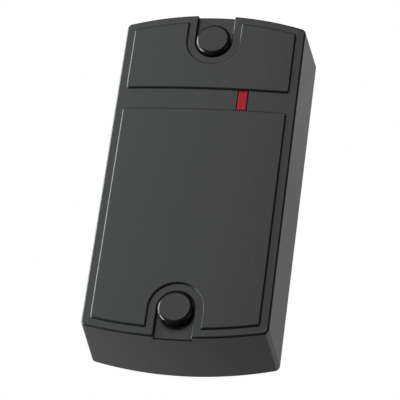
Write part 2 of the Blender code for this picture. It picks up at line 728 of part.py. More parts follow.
def make_diode():
    outline = rectangle(*DIODE_SIZE, *DIODE_AT, BODY_CORNER, 1)
    mesh = blocks("surge_diode", [outline], part_base - DIODE_HEIGHT, part_base - CHIP_LIFT)
    diode = add_object("surge_diode", mesh, parts, chip_epoxy)
    width, length, rise = DIODE_ENDS
    ends = rectangle(width, length, *DIODE_AT)
    join(diode, tool("diode_ends", blocks("diode_ends", [ends], part_base - rise, part_base)))


def make_cable_connector():
    x, y = CONNECTOR_AT
    row = CONNECTOR_WAYS * CONNECTOR_PITCH
    low = part_base - CONNECTOR_HEIGHT
    outline = rectangle(row + 2 * CONNECTOR_SIDE, CONNECTOR_DEPTH, x, y, BODY_CORNER, 1)
    body = blocks("cable_connector", [outline], low, part_base)
    connector = add_object("cable_connector", body, parts, connector_white)
    beside, width, floor = CONNECTOR_POCKET
    pocket = rectangle(row + 2 * beside, width, x, y)
    pocket = blocks("connector_pocket", [pocket], low - OVERRUN, part_base - floor)
    cut(connector, tool("connector_pocket", pocket))
    shifts = [(i - (CONNECTOR_WAYS - 1) / 2) * CONNECTOR_PITCH for i in range(CONNECTOR_WAYS)]
    pins = [rectangle(CONNECTOR_PIN, CONNECTOR_PIN, x + shift, y) for shift in shifts]
    rows = blocks("connector_pins", pins, low + CONNECTOR_PIN, part_base - CONNECTOR_PIN_ROOT)
    join(connector, tool("connector_pins", rows))


def make_buzzer():
    top = front_base + BUZZER_HEIGHT
    port, depth = BUZZER_PORT
    profile = [
        (0, top - depth), (port, top - depth), (port, top), (BUZZER_RADIUS - BUZZER_ROUND, top),
        (BUZZER_RADIUS, top - BUZZER_ROUND), (BUZZER_RADIUS, front_base), (0, front_base),
    ]
    buzzer = turned("buzzer", profile, parts, black_plastic)
    buzzer.location = (*BUZZER_AT, 0)


# The reader

def stand_up():
    axes = bpy.data.objects.new("reader_axes", None)
    axes.empty_display_size = 0.02
    axes.rotation_euler = (math.radians(90), 0, 0)
    parts.objects.link(axes)
    for group in (parts, cutters):
        for made in group.objects:
            if made.type == "MESH":
                made.parent = axes


clear_scene()
parts = new_collection(READER)
cutters = new_collection(READER + "_cutters")
cutters.hide_render = True

screw_places = [(0, SCREW_Y), (0, -SCREW_Y)]
plate_screw_places = [
    (PLATE_SCREW_X, PLATE_SCREW_Y), (-PLATE_SCREW_X, PLATE_SCREW_Y),
    (-PLATE_SCREW_X, -PLATE_SCREW_Y), (PLATE_SCREW_X, -PLATE_SCREW_Y),
]

shell_plastic = finish("shell_plastic", (0.060, 0.064, 0.063), 0.55)
plate_plastic = finish("plate_plastic", (0.035, 0.037, 0.037), 0.60)
cap_plastic = finish("cap_plastic", (0.045, 0.047, 0.048), 0.35)
lens_red = finish("lens_red", (0.50, 0.02, 0.03), 0.25)
screw_steel = finish("screw_steel", (0.62, 0.62, 0.60), 0.30, 1.0)
seal_rubber = finish("seal_rubber", (0.020, 0.020, 0.021), 0.80)
board_green = finish("board_green", (0.02, 0.14, 0.06), 0.45)
copper = finish("copper", (0.66, 0.30, 0.14), 0.35, 1.0)
former_plastic = finish("former_plastic", (0.62, 0.60, 0.54), 0.55)
black_plastic = finish("black_plastic", (0.02, 0.02, 0.02), 0.50)
chip_epoxy = finish("chip_epoxy", (0.025, 0.025, 0.027), 0.60)
can_steel = finish("can_steel", (0.70, 0.70, 0.68), 0.30, 1.0)
can_aluminium = finish("can_aluminium", (0.80, 0.80, 0.80), 0.25, 1.0)
film_red = finish("film_red", (0.35, 0.04, 0.03), 0.50)
connector_white = finish("connector_white", (0.78, 0.77, 0.72), 0.45)
led_white = finish("led_white", (0.85, 0.84, 0.78), 0.35)

make_housing()
make_lens()
make_screw_caps()
make_mounting_screws()
make_rear_plate()
make_gasket()
make_grommet()
make_plate_screws()
make_circuit_board()
make_board_screws()
make_coil()
make_status_led()
make_led_shroud()
make_buzzer()
leaded_chip("microcontroller", *MICROCONTROLLER)
leaded_chip("reader_chip", *READER_CHIP)
make_regulator()
make_crystal()
make_filter_capacitor()
make_tuning_capacitor()
make_diode()
make_cable_connector()
for piece in parts.objects:
    shade(piece)
stand_up()
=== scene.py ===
import math

import bmesh
import bpy
from mathutils import Matrix, Vector


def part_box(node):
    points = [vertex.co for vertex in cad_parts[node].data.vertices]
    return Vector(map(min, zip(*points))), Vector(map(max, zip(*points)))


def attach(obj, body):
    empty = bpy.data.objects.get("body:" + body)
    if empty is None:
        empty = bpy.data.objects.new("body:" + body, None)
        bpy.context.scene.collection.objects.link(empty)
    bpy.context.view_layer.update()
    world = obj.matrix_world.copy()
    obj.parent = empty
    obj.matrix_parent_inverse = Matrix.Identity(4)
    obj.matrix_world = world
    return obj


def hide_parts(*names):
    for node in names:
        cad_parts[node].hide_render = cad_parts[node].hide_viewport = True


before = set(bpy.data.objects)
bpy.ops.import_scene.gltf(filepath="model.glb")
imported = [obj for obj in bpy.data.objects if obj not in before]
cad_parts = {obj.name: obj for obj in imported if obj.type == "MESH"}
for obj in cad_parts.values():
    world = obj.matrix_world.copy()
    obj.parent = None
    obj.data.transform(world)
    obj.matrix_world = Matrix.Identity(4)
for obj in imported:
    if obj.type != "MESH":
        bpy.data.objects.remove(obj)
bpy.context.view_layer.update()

print("frame loaded:", len(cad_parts), "CAD nodes")

# Pieces are modelled with the reader lying on its back: X across, Y up the wall, Z out of the wall.
# place() then stands a finished piece up in the frame, with the wall at y = 0 and the face looking along -Y.

mm = 0.001
hair = 1e-6       # places nearer to each other than this are the same
past = 1 * mm     # how far a cutter runs on past the surface it opens


# Small helpers for working by operator

def deselectAll():
    for thing in bpy.context.selected_objects:
        thing.select_set(False)


def takeUp(piece):
    deselectAll()
    piece.select_set(True)
    bpy.context.view_layer.objects.active = piece


def startEdit(piece):
    takeUp(piece)
    bpy.ops.object.mode_set(mode="EDIT")


def endEdit():
    bpy.ops.object.mode_set(mode="OBJECT")


def pick(kind, test):  # selects only what passes the test, in the piece being edited
    mesh = bpy.context.edit_object.data
    bpy.ops.mesh.select_mode(type=kind)
    bpy.ops.mesh.select_all(action="DESELECT")
    work = bmesh.from_edit_mesh(mesh)
    items = {"VERT": work.verts, "EDGE": work.edges, "FACE": work.faces}[kind]
    count = 0
    for item in items:
        if test(item):
            item.select_set(True)
            count += 1
    work.select_flush_mode()
    bmesh.update_edit_mesh(mesh)
    return count


def middle(item):
    return sum((v.co for v in item.verts), Vector()) / len(item.verts)


def isSharp(edge, angle=40):
    return len(edge.link_faces) == 2 and edge.calc_face_angle(0) > math.radians(angle)


def isUpright(edge):
    a, b = edge.verts
    return abs(a.co.x - b.co.x) < hair and abs(a.co.y - b.co.y) < hair


def roundEdges(piece, test, width, segments=4):
    startEdit(piece)
    found = pick("EDGE", test)
    if found:
        bpy.ops.mesh.bevel(offset=width, segments=segments, affect="EDGES", clamp_overlap=False)
    endEdit()
    return found


def named(name):
    made = bpy.context.object
    made.name = name
    made.data.name = name
    return made


def settle(piece, location=(0, 0, 0), turn=(0, 0, 0)):
    # Moves or turns a piece and writes that into its mesh.
    takeUp(piece)
    piece.location = location
    piece.rotation_euler = turn
    bpy.ops.object.transform_apply(location=True, rotation=True, scale=True)
    return piece


def halfTurn(piece):
    return settle(piece, turn=(0, 0, math.pi))


def block(name, low, high):
    deselectAll()
    centre = [(a + b) / 2 for a, b in zip(low, high)]
    bpy.ops.mesh.primitive_cube_add(size=1, location=centre)
    made = named(name)
    made.scale = [b - a for a, b in zip(low, high)]
    bpy.ops.object.transform_apply(location=True, rotation=True, scale=True)
    return made


def drum(name, x, y, radius, low, high, topRadius=None, sides=64):
    deselectAll()
    bpy.ops.mesh.primitive_cone_add(
        vertices=sides,
        radius1=radius,
        radius2=radius if topRadius is None else topRadius,
        depth=high - low,
        location=(x, y, (low + high) / 2),
    )
    made = named(name)
    bpy.ops.object.transform_apply(location=True, rotation=True, scale=True)
    return made


def outlined(name, points, low, high, topScale=(1, 1)):
    # A filled circle whose corners are set out on an outline, then extruded.
    deselectAll()
    bpy.ops.mesh.primitive_circle_add(vertices=len(points), radius=mm, fill_type="NGON")
    made = named(name)
    for corner, (x, y) in zip(made.data.vertices, points):
        corner.co = (x, y, low)
    startEdit(made)
    pick("FACE", lambda f: True)
    bpy.ops.mesh.extrude_region_move(TRANSFORM_OT_translate={"value": (0, 0, high - low)})
    bpy.ops.transform.resize(value=(topScale[0], topScale[1], 1), center_override=(0, 0, high))
    bpy.ops.mesh.select_all(action="SELECT")
    bpy.ops.mesh.normals_make_consistent(inside=False)
    endEdit()
    return made


def turnedUp(name, profile, sides=64, x=0, y=0, closed=False):
    # A ring extruded and resized along a profile of (radius, height). Closed, the last ring meets the first.
    deselectAll()
    radius, height = profile[0]
    bpy.ops.mesh.primitive_circle_add(
        vertices=sides, radius=radius, location=(0, 0, height), fill_type="NOTHING" if closed else "NGON"
    )
    made = named(name)
    bpy.ops.object.transform_apply(location=True, rotation=True, scale=True)
    startEdit(made)
    bpy.ops.mesh.select_all(action="SELECT")
    for nextRadius, nextHeight in profile[1:]:
        rise = nextHeight - height
        grow = nextRadius / radius
        bpy.ops.mesh.extrude_region_move(TRANSFORM_OT_translate={"value": (0, 0, rise)})
        bpy.ops.transform.resize(value=(grow, grow, 1), center_override=(0, 0, nextHeight))
        radius, height = nextRadius, nextHeight
    bpy.ops.mesh.select_all(action="SELECT")
    bpy.ops.mesh.remove_doubles(threshold=hair)
    bpy.ops.mesh.select_all(action="SELECT")
    bpy.ops.mesh.normals_make_consistent(inside=False)
    endEdit()
    return settle(made, location=(x, y, 0))


thread = {
    "fullness": 1.35,  # radius of the ridge's three corners, over the thread's depth
    "steps": 20,       # in one turn
}


def threadOn(screw, core, crest, low, high, pitch):
    # A three-cornered ridge wound along the shank and joined to it.
    deselectAll()
    bpy.ops.mesh.primitive_circle_add(
        vertices=3,
        radius=(crest - core) * thread["fullness"],
        location=(core, 0, low),
        rotation=(math.radians(90), math.radians(90), 0),
    )
    ridge = named("thread")
    bpy.ops.object.transform_apply(location=True, rotation=True, scale=True)
    wind = ridge.modifiers.new("wind", "SCREW")
    wind.iterations = int((high - low) / pitch)
    wind.screw_offset = pitch
    wind.steps = thread["steps"]
    wind.render_steps = thread["steps"]
    wind.use_merge_vertices = True
    wind.merge_threshold = hair
    bpy.ops.object.modifier_apply(modifier=wind.name)
    startEdit(ridge)
    bpy.ops.mesh.select_all(action="SELECT")
    bpy.ops.mesh.fill_holes(sides=4)
    bpy.ops.mesh.select_all(action="SELECT")
    bpy.ops.mesh.normals_make_consistent(inside=False)
    endEdit()
    join(screw, ridge)


def inMm(*rows):
    return [tuple(value * mm for value in row) for row in rows]


def makeScrew(name, facts):
    screw = turnedUp(name, facts["profile"], facts["sides"])
    threadOn(screw, *facts["thread"])
    reach, width, low, high = facts["recess"]
    for a, b in ((reach, width), (width, reach)):
        cut(screw, block("recess", (-a / 2, -b / 2, low), (a / 2, b / 2, high)))
    tidyMesh(screw)
    smooth(screw, 35)
    return screw


def combine(piece, other, operation):
    takeUp(piece)
    step = piece.modifiers.new("combine", "BOOLEAN")
    step.operation = operation
    step.solver = "MANIFOLD"
    step.object = other
    bpy.ops.object.modifier_apply(modifier=step.name)
    spare = other.data
    bpy.data.objects.remove(other)
    bpy.data.meshes.remove(spare)
    return piece


def cut(piece, *others):
    for other in others:
        combine(piece, other, "DIFFERENCE")
    return piece


def join(piece, *others):
    for other in others:
        combine(piece, other, "UNION")
    return piece


def tidyMesh(piece, gap=2e-7):
    startEdit(piece)
    bpy.ops.mesh.select_mode(type="VERT")
    bpy.ops.mesh.select_all(action="SELECT")
    bpy.ops.mesh.remove_doubles(threshold=gap)
    bpy.ops.mesh.dissolve_degenerate(threshold=gap)
    bpy.ops.mesh.select_all(action="SELECT")
    bpy.ops.mesh.normals_make_consistent(inside=False)
    endEdit()


def smooth(piece, angle=30):
    takeUp(piece)
    bpy.ops.object.shade_smooth_by_angle(angle=math.radians(angle))
    step = piece.modifiers.new("even faces", "WEIGHTED_NORMAL")
    step.keep_sharp = True
    step.weight = 80
    bpy.ops.object.modifier_apply(modifier=step.name)


def duplicate(piece, name, move=(0, 0, 0)):
    made = bpy.data.objects.new(name, piece.data.copy())
    made.data.name = name
    bpy.context.scene.collection.objects.link(made)
    return settle(made, location=move)


def place(piece, body, slot, material, *nodes):
    # The last step of every piece: stood up into the frame, finished, and on its body.
    settle(piece, turn=(math.radians(90), 0, 0))
    piece.data.materials.clear()
    piece.data.materials.append(material)
    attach(piece, body)
    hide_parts(*nodes)
    print("made", piece.name, len(piece.data.polygons), "faces")


# Outlines, anticlockwise

def arc(x, y, radius, start, end, steps):
    turns = [start + (end - start) * i / steps for i in range(steps + 1)]
    return [(x + radius * math.cos(t), y + radius * math.sin(t)) for t in turns]


def halfTurned(points):
    return [(-x, -y) for x, y in points]


def roundedBox(width, height, x, y, corner, steps=6):
    points = []
    quarter = math.pi / 2
    for i, (sideX, sideY) in enumerate(((1, 1), (-1, 1), (-1, -1), (1, -1))):
        cornerX = x + sideX * (width / 2 - corner)
        cornerY = y + sideY * (height / 2 - corner)
        points += arc(cornerX, cornerY, corner, i * quarter, i * quarter + quarter, steps)
    return points


def bulgedEnd(halfWidth, tip, corner, steps=40, cornerSteps=8):
    radius = endArc - (halfWide - halfWidth)
    centre = tip - radius
    across = halfWidth - corner
    cornerY = centre + math.sqrt((radius - corner) ** 2 - across ** 2)
    lean = math.atan2(cornerY - centre, across)
    right = arc(across, cornerY, corner, 0, lean, cornerSteps)
    crest = arc(0, centre, radius, lean, math.pi - lean, steps)
    left = arc(-across, cornerY, corner, math.pi - lean, math.pi, cornerSteps)
    return right + crest[1:-1] + left


def notchBlock(name, radius, low, high, end=1):
    # A slot that is round towards the centre and runs out past the end of the shell.
    made = block(name, (-radius, shell["screwY"] - radius, low), (radius, halfTall + 2 * past, high))
    roundEdges(made, lambda e: isUpright(e) and middle(e).y < shell["screwY"], radius, shell["notchSteps"])
    tidyMesh(made, hair)
    return halfTurn(made) if end < 0 else made


# Light, floor and camera

view = {
    "target": (-0.00158, -0.00121, 0.00163),
    "distance": 0.60815,
    "azimuth": 12.196,
    "elevation": -27.380,
    "roll": 7.997,
    "lens": 236.96,
    "sensor": 36.0,
    "nearest": 0.01,
    "farthest": 20,
}


def addCamera():
    turn = math.radians(view["azimuth"])
    rise = math.radians(view["elevation"])
    back = Vector((math.sin(turn) * math.cos(rise), -math.cos(turn) * math.cos(rise), math.sin(rise)))
    lensData = bpy.data.cameras.new("camera")
    lensData.lens = view["lens"]
    lensData.sensor_width = view["sensor"]
    lensData.clip_start = view["nearest"]
    lensData.clip_end = view["farthest"]
    camera = bpy.data.objects.new("camera", lensData)
    bpy.context.scene.collection.objects.link(camera)
    camera.rotation_mode = "QUATERNION"
    camera.location = Vector(view["target"]) + back * view["distance"]
    roll = Matrix.Rotation(math.radians(view["roll"]), 4, "Z").to_quaternion()
    camera.rotation_quaternion = (-back).to_track_quat("-Z", "Y") @ roll
    bpy.context.scene.camera = camera


studio = {
    "floorHeight": -0.60,
    "floorSize": 6.0,
    "floorFinish": ((0.86, 0.86, 0.85), 0.7),
    "ambient": 0.05,
    # name: direction from the reader, distance, width, height, brightness, colour
    "boxes": {
        "front": ((-0.27, -0.84, 0.50), 1.5, 1.5, 1.0, 1.53, (1.0, 0.995, 0.99)),
        "teal": ((-0.72, -0.60, 0.42), 1.5, 0.8, 0.9, 0.40, (0.10, 0.85, 1.0)),
        "left top": ((-0.947, -0.05, 0.317), 1.4, 1.2, 0.88, 11.0, (0.95, 1.0, 1.0)),
        "left low": ((-0.935, -0.16, -0.317), 1.4, 1.2, 0.58, 12.0, (0.95, 1.0, 1.0)),
        "right": ((1.0, 0.10, -0.22), 1.3, 0.9, 0.6, 0.9, (1.0, 1.0, 1.0)),
        "back": ((-0.15, 1.0, 0.42), 1.2, 2.2, 1.0, 0.48, (1.0, 1.0, 0.98)),
        "back top": ((0.20, 0.80, 0.95), 0.30, 0.40, 0.20, 0.13, (1.0, 1.0, 0.98)),
        "rear right": ((0.66, 0.66, -0.34), 1.1, 1.0, 0.8, 0.9, (1.0, 1.0, 1.0)),
        "low": ((-0.34, 0.87, -0.44), 1.0, 1.15, 0.6, 0.60, (1.0, 1.0, 0.99)),
    },
}


def addWorld():
    # The reader is lit by the boxes and a little ambient light, and stands before plain white.
    world = bpy.data.worlds.new("studio")
    bpy.context.scene.world = world
    world.use_nodes = True
    nodes = world.node_tree.nodes
    links = world.node_tree.links
    nodes.clear()
    out = nodes.new("ShaderNodeOutputWorld")
    mix = nodes.new("ShaderNodeMixShader")
    rays = nodes.new("ShaderNodeLightPath")
    ambient = nodes.new("ShaderNodeBackground")
    white = nodes.new("ShaderNodeBackground")
    ambient.inputs["Strength"].default_value = studio["ambient"]
    white.inputs["Color"].default_value = (1, 1, 1, 1)
    ambient.inputs["Color"].default_value = (1, 1, 1, 1)
    links.new(rays.outputs["Is Camera Ray"], mix.inputs["Fac"])
    links.new(ambient.outputs["Background"], mix.inputs[1])
    links.new(white.outputs["Background"], mix.inputs[2])
    links.new(mix.outputs["Shader"], out.inputs["Surface"])


def addBox(name, direction, distance, wide, tall, brightness, colour):
    data = bpy.data.lights.new(name, "AREA")
    data.shape = "RECTANGLE"
    data.size = wide
    data.size_y = tall
    data.energy = brightness * math.pi * wide * tall
    data.color = colour
    lamp = bpy.data.objects.new(name, data)
    bpy.context.scene.collection.objects.link(lamp)
    towards = Vector(direction).normalized()
    lamp.location = towards * distance
    lamp.rotation_euler = (-towards).to_track_quat("-Z", "Y").to_euler()
    lamp.visible_camera = False


def addStudio():
    addWorld()
    for name, facts in studio["boxes"].items():
        addBox(name, *facts)
    deselectAll()
    bpy.ops.mesh.primitive_plane_add(size=studio["floorSize"], location=(0, 0, studio["floorHeight"]))
    floor = named("floor")
    bpy.ops.object.transform_apply(location=True, rotation=True, scale=True)
    floor.data.materials.append(flatFinish("pale_floor", *studio["floorFinish"]))
    floor.visible_glossy = False  # the edges that face down reflect the dark studio, not the floor
    floor.visible_diffuse = False


# Finishes

def flatFinish(name, colour, roughness):
    made = bpy.data.materials.new(name)
    made.use_nodes = True
    shader = made.node_tree.nodes["Principled BSDF"]
    shader.inputs["Base Color"].default_value = (*colour, 1)
    shader.inputs["Roughness"].default_value = roughness
    return made


def newGroup(name, inputs, outputs):
    # inputs and outputs are {socket name: (kind, value)}; returns the tree with its two ends
    tree = bpy.data.node_groups.new(name, "ShaderNodeTree")
    for side, sockets in (("INPUT", inputs), ("OUTPUT", outputs)):
        for label, (kind, value) in sockets.items():
            socket = tree.interface.new_socket(name=label, in_out=side, socket_type="NodeSocket" + kind)
            if side == "INPUT" and value is not None:
                socket.default_value = value
    start = tree.nodes.new("NodeGroupInput")
    end = tree.nodes.new("NodeGroupOutput")
    return tree, start, end


def mathNode(tree, operation, *values):
    node = tree.nodes.new("ShaderNodeMath")
    node.operation = operation
    for socket, value in zip(node.inputs, values):
        if isinstance(value, (int, float)):
            socket.default_value = value
        else:
            tree.links.new(value, socket)
    return node.outputs[0]


def noiseNode(tree, vector, scale, detail, roughness=0.5):
    node = tree.nodes.new("ShaderNodeTexNoise")
    node.inputs["Detail"].default_value = detail
    node.inputs["Roughness"].default_value = roughness
    if isinstance(scale, (int, float)):
        node.inputs["Scale"].default_value = scale
    else:
        tree.links.new(scale, node.inputs["Scale"])
    tree.links.new(vector, node.inputs["Vector"])
    return node.outputs["Fac"]


texture = {
    "grainScale": 3200.0,     # cells of mould texture in a metre
    "cellShare": 0.6,         # of the cells in the grain's height; the rest is softer noise
    "softScale": 0.6,         # of that noise, over the cells'
    "driftScale": 55.0,
    "speckleScale": 2600.0,
    "relief": 0.00003,        # height of the bump
    "heights": (0.3, 1.0),    # range of the grain's height
    "roughSpread": 0.06,      # change of roughness over that range, up and down
}


def makeGrainGroup():
    # Fine pebbled mould texture, as a height.
    tree, start, end = newGroup(
        "mouldGrain",
        {"Vector": ("Vector", None), "Scale": ("Float", texture["grainScale"])},
        {"Height": ("Float", None)},
    )
    cells = tree.nodes.new("ShaderNodeTexVoronoi")
    cells.feature = "SMOOTH_F1"
    tree.links.new(start.outputs["Vector"], cells.inputs["Vector"])
    tree.links.new(start.outputs["Scale"], cells.inputs["Scale"])
    softScale = mathNode(tree, "MULTIPLY", start.outputs["Scale"], texture["softScale"])
    soft = noiseNode(tree, start.outputs["Vector"], softScale, 3)
    pebbles = mathNode(tree, "MULTIPLY", cells.outputs["Distance"], texture["cellShare"])
    tree.links.new(mathNode(tree, "ADD", pebbles, soft), end.inputs["Height"])
    return tree


def makeDriftGroup():
    # Slow, faint change of tone over a moulding, with finer speckle in it.
    tree, start, end = newGroup(
        "toneDrift",
        {"Vector": ("Vector", None), "Amount": ("Float", 0.06), "Speckle": ("Float", 0.05)},
        {"Tone": ("Float", None)},
    )
    slow = noiseNode(tree, start.outputs["Vector"], texture["driftScale"], 2)
    fine = noiseNode(tree, start.outputs["Vector"], texture["speckleScale"], 4, 0.65)
    slowPart = mathNode(tree, "MULTIPLY", mathNode(tree, "SUBTRACT", slow, 0.5), start.outputs["Amount"])
    finePart = mathNode(tree, "MULTIPLY", mathNode(tree, "SUBTRACT", fine, 0.5), start.outputs["Speckle"])
    tone = mathNode(tree, "ADD", 1.0, mathNode(tree, "ADD", slowPart, finePart))
    tree.links.new(tone, end.inputs["Tone"])
    return tree


mouldGrain = makeGrainGroup()
toneDrift = makeDriftGroup()


def useGroup(tree, group, coords, **values):
    node = tree.nodes.new("ShaderNodeGroup")
    node.node_tree = group
    for label, value in values.items():
        node.inputs[label].default_value = value
    tree.links.new(coords.outputs["Object"], node.inputs["Vector"])
    return node


def moulded(
    name, colour, roughness,
    grain=texture["grainScale"], bump=0.25, drift=0.10, speckle=0.12, specular=0.5, metallic=0.0,
):
    made = bpy.data.materials.new(name)
    made.use_nodes = True
    tree = made.node_tree
    links = tree.links
    shader = tree.nodes["Principled BSDF"]
    coords = tree.nodes.new("ShaderNodeTexCoord")
    grainNode = useGroup(tree, mouldGrain, coords, Scale=grain)
    driftNode = useGroup(tree, toneDrift, coords, Amount=drift, Speckle=speckle)
    tint = tree.nodes.new("ShaderNodeMix")
    tint.data_type = "RGBA"
    tint.blend_type = "MULTIPLY"
    tint.inputs["Factor"].default_value = 1.0
    tint.inputs["A"].default_value = (*colour, 1)
    links.new(driftNode.outputs["Tone"], tint.inputs["B"])
    links.new(tint.outputs["Result"], shader.inputs["Base Color"])
    rough = tree.nodes.new("ShaderNodeMapRange")
    rough.inputs["From Min"].default_value, rough.inputs["From Max"].default_value = texture["heights"]
    rough.inputs["To Min"].default_value = roughness - texture["roughSpread"]
    rough.inputs["To Max"].default_value = roughness + texture["roughSpread"]
    links.new(grainNode.outputs["Height"], rough.inputs["Value"])
    links.new(rough.outputs["Result"], shader.inputs["Roughness"])
    relief = tree.nodes.new("ShaderNodeBump")
    relief.inputs["Strength"].default_value = bump
    relief.inputs["Distance"].default_value = texture["relief"]
    links.new(grainNode.outputs["Height"], relief.inputs["Height"])
    links.new(relief.outputs["Normal"], shader.inputs["Normal"])
    shader.inputs["Specular IOR Level"].default_value = specular
    shader.inputs["Metallic"].default_value = metallic
    return made


shellPlastic = moulded("grained shell plastic", (0.016, 0.017, 0.017), 0.34)
capPlastic = moulded(
    "smooth cap plastic", (0.012, 0.012, 0.013), 0.20, bump=0.012, speckle=0.04, specular=0.40
)
platePlastic = moulded("satin plate plastic", (0.036, 0.037, 0.038), 0.58, grain=2600.0, bump=0.4)
lensPlastic = moulded(
    "red window plastic", (0.50, 0.022, 0.028), 0.30, bump=0.03, drift=0.2, speckle=0.02, specular=0.08
)
sealRubber = moulded("matt seal rubber", (0.020, 0.020, 0.021), 0.75, grain=5200.0, bump=0.3)
screwSteel = moulded("zinc plated steel", (0.60, 0.60, 0.58), 0.28, grain=5200.0, bump=0.05, metallic=1.0)
blackPlastic = moulded("black nylon", (0.020, 0.020, 0.020), 0.45, bump=0.15)
formerPlastic = moulded("natural nylon", (0.62, 0.60, 0.54), 0.42, bump=0.12, drift=0.06)
chipEpoxy = moulded("chip moulding", (0.025, 0.025, 0.027), 0.60, grain=6000.0, bump=0.30)
filmRed = moulded("red film dip", (0.36, 0.06, 0.035), 0.30, bump=0.10)
connectorWhite = moulded("connector nylon", (0.72, 0.71, 0.66), 0.40, bump=0.10, drift=0.05)
ledWhite = moulded("diffused led", (0.80, 0.79, 0.72), 0.30, bump=0.05, drift=0.08)
canSteel = moulded("drawn steel", (0.70, 0.70, 0.68), 0.24, grain=4200.0, bump=0.06, metallic=1.0)
canAluminium = moulded("drawn aluminium", (0.78, 0.79, 0.80), 0.36, grain=4200.0, bump=0.08, metallic=1.0)
copper = moulded(
    "enamelled wire", (0.66, 0.27, 0.12), 0.26, grain=5200.0, bump=0.03, drift=0.35, metallic=0.9
)

mask = {
    "scale": 260.0,                  # square rings of track in a metre
    "rings": 6.0,
    "gap": 0.30,                     # of half the pitch from track to track
    "bare": (0.012, 0.092, 0.040),
    "track": (0.050, 0.240, 0.100),
}


def solderMask():
    # Green mask over the tracks, which show through as lighter stripes with corners at right angles.
    made = moulded("green solder mask", mask["bare"], 0.28, bump=0.04, drift=0.16)
    tree = made.node_tree
    speckled = next(n for n in tree.nodes if n.bl_idname == "ShaderNodeMix")
    cells = tree.nodes.new("ShaderNodeTexVoronoi")
    cells.distance = "CHEBYCHEV"
    cells.feature = "F1"
    cells.inputs["Scale"].default_value = mask["scale"]
    tree.links.new(tree.nodes["Texture Coordinate"].outputs["Object"], cells.inputs["Vector"])
    rings = mathNode(tree, "MULTIPLY", cells.outputs["Distance"], mask["rings"])
    track = mathNode(tree, "GREATER_THAN", mathNode(tree, "PINGPONG", rings, 0.5), mask["gap"])
    tint = tree.nodes.new("ShaderNodeMix")
    tint.data_type = "RGBA"
    tint.inputs["A"].default_value = (*mask["bare"], 1)
    tint.inputs["B"].default_value = (*mask["track"], 1)
    tree.links.new(track, tint.inputs["Factor"])
    tree.links.new(tint.outputs["Result"], speckled.inputs["A"])
    return made


boardGreen = solderMask()
print("finishes made:", len(bpy.data.materials))


# Front housing

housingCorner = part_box("front_housing")[1]
halfWide = housingCorner.x
halfTall = housingCorner.z

shell = {
    "faceHeight": 18.0 * mm,      # border on its centre line
    "crown": 1.0 * mm,
    "sideDraft": 0.5 * mm,
    "endDraft": 1.10 * mm,
    "endBulge": 2.7 * mm,
    "corner": 1.3 * mm,
    "edgeRound": 0.42 * mm,
    "border": 2.0 * mm,
    "panelRaise": 0.45 * mm,
    "panelRound": 0.40 * mm,
    "panelCorner": 0.7 * mm,
    "barTop": 21.5 * mm,
    "barBottom": 16.2 * mm,
    "screwY": 34.45 * mm,
    "ribRadius": 6.1 * mm,
    "notchRadius": 4.25 * mm,
    "notchFloor": 16.8 * mm,
    "notchRound": 0.30 * mm,
    "notchSteps": 28,
    "crownFrom": 0.5 * mm,        # over the notch floor: what lies higher takes the crown
    "columns": 28,                # across the crown
}
endArc = (halfWide ** 2 + shell["endBulge"] ** 2) / (2 * shell["endBulge"])


def panelSlab(name, barEdge):
    halfWidth = halfWide - shell["sideDraft"] - shell["border"]
    corner = shell["panelCorner"]
    across = halfWidth - corner
    up = barEdge + corner
    points = bulgedEnd(halfWidth, halfTall - shell["endDraft"] - shell["border"], corner)
    for x, start in ((-across, math.pi), (across, 1.5 * math.pi)):
        points += arc(x, up, corner, start, start + math.pi / 2, 8)
    top = shell["faceHeight"] + shell["panelRaise"]
    made = outlined(name, points, shell["faceHeight"] - past, top)
    cut(made, notchBlock("rib_space", shell["ribRadius"], shell["faceHeight"] - 2 * past, top + past))
    tidyMesh(made)
    roundEdges(made, lambda e: isSharp(e) and middle(e).z > top - hair, shell["panelRound"], 5)
    return made


def crownDrop(x):
    radius = ((halfWide - shell["sideDraft"]) ** 2 + shell["crown"] ** 2) / (2 * shell["crown"])
    return radius - math.sqrt(radius ** 2 - x ** 2)


def onNotchWall(vert):
    # On the wall of either screw notch.
    y = abs(vert.co.y) - shell["screwY"]
    away = abs(vert.co.x) if y > 0 else math.hypot(vert.co.x, y)
    return abs(away - shell["notchRadius"]) < 2 * hair


def makeHousing():
    top = shell["faceHeight"]
    end = bulgedEnd(halfWide, halfTall, shell["corner"])
    lean = (1 - shell["sideDraft"] / halfWide, 1 - shell["endDraft"] / halfTall)
    housing = outlined("housing_shell", end + halfTurned(end), 0, top, lean)
    roundEdges(housing, lambda e: isSharp(e) and middle(e).z > top - hair, shell["edgeRound"], 5)
    upper = panelSlab("upper_panel", shell["barTop"])
    lower = halfTurn(panelSlab("lower_panel", -shell["barBottom"]))
    join(housing, upper, lower)
    for side in (1, -1):
        cut(housing, notchBlock("notch", shell["notchRadius"], shell["notchFloor"], top + 2 * past, side))
    tidyMesh(housing)
    floor = shell["notchFloor"]
    mouth = halfTall - shell["endDraft"] - past

    def onRim(edge):
        a, b = edge.verts
        if not isSharp(edge, 25):
            return False
        if onNotchWall(a) and onNotchWall(b) and middle(edge).z > floor + hair:
            return True
        return abs(a.co.z - floor) < hair and abs(b.co.z - floor) < hair and abs(middle(edge).y) > mouth

    roundEdges(housing, onRim, shell["notchRound"], 4)
    crownFace(housing)
    return housing


